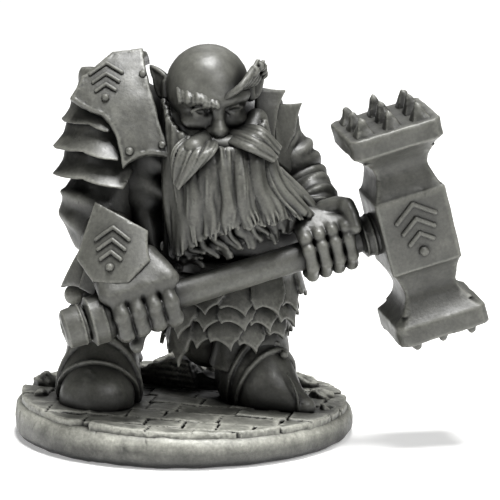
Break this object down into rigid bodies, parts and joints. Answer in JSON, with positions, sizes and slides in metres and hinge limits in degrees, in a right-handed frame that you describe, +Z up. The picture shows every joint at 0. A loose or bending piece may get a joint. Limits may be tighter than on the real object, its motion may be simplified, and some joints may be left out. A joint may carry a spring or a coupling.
{
  "type": "tabletop miniature figure",
  "caption": "Unpainted resin dwarf warrior miniature with long beard, layered armour and a long-hafted hammer, standing on a round cobbled base.",
  "frame": {"origin": "centre of the flat underside of the round base", "axes": "+Z up, -Y the way the figure faces, +X towards the hammer head at its left"},
  "size_m": [0.0348, 0.025, 0.0293],
  "materials": {
    "resin_base": "satin dark grey casting resin, cobbled, with a fine cast grain",
    "resin_armour": "satin dark grey casting resin, smooth plates with rubbed, lighter rims",
    "resin_skin": "satin dark grey casting resin, smooth skin",
    "resin_hair": "satin dark grey casting resin, deeply combed strands with lighter crests",
    "resin_cloth": "satin dark grey casting resin, soft folds",
    "resin_leather": "satin dark grey casting resin, soft creased leather",
    "resin_weapon": "satin dark grey casting resin, hammered metal flats with worn edges"
  },
  "bodies": {
    "root": {"backplate": "resin_armour", "base_plinth": "resin_base", "beard": "resin_hair", "beard_underlayer": "resin_hair", "belt": "resin_leather", "ears": "resin_skin", "eyebrows": "resin_hair", "gorget": "resin_armour", "haft": "resin_weapon", "haft_collar_front": "resin_weapon", "haft_collar_rear": "resin_weapon", "haft_end_cap": "resin_weapon", "hammer_emblem": "resin_weapon", "hammer_head": "resin_weapon", "head": "resin_skin", "hip_dagger": "resin_weapon", "left_boot": "resin_leather", "left_forearm": "resin_cloth", "left_greave": "resin_armour", "left_hand": "resin_skin", "left_lame_1": "resin_armour", "left_lame_2": "resin_armour", "left_lame_3": "resin_armour", "left_leg": "resin_cloth", "left_sleeve_cuff": "resin_cloth", "left_sleeve_upper": "resin_cloth", "moustache_left": "resin_hair", "moustache_right": "resin_hair", "paving_stones": "resin_base", "plate_emblem": "resin_armour", "pommel": "resin_weapon", "rear_rubble": "resin_base", "right_boot": "resin_leather", "right_cuff_flare": "resin_armour", "right_forearm": "resin_cloth", "right_greave": "resin_armour", "right_hand": "resin_leather", "right_lame_1": "resin_armour", "right_lame_2": "resin_armour", "right_lame_3": "resin_armour", "right_lame_4": "resin_armour", "right_leg": "resin_cloth", "right_shoulder_plate": "resin_armour", "right_sleeve": "resin_cloth", "right_vambrace": "resin_armour", "shoulder_rivets": "resin_armour", "skirt_row_lower": "resin_armour", "skirt_row_middle": "resin_armour", "skirt_row_upper": "resin_armour", "striking_studs_bottom": "resin_weapon", "striking_studs_top": "resin_weapon", "torso": "resin_cloth", "under_robe": "resin_cloth", "vambrace_emblem": "resin_armour"}
  },
  "joints": []
}
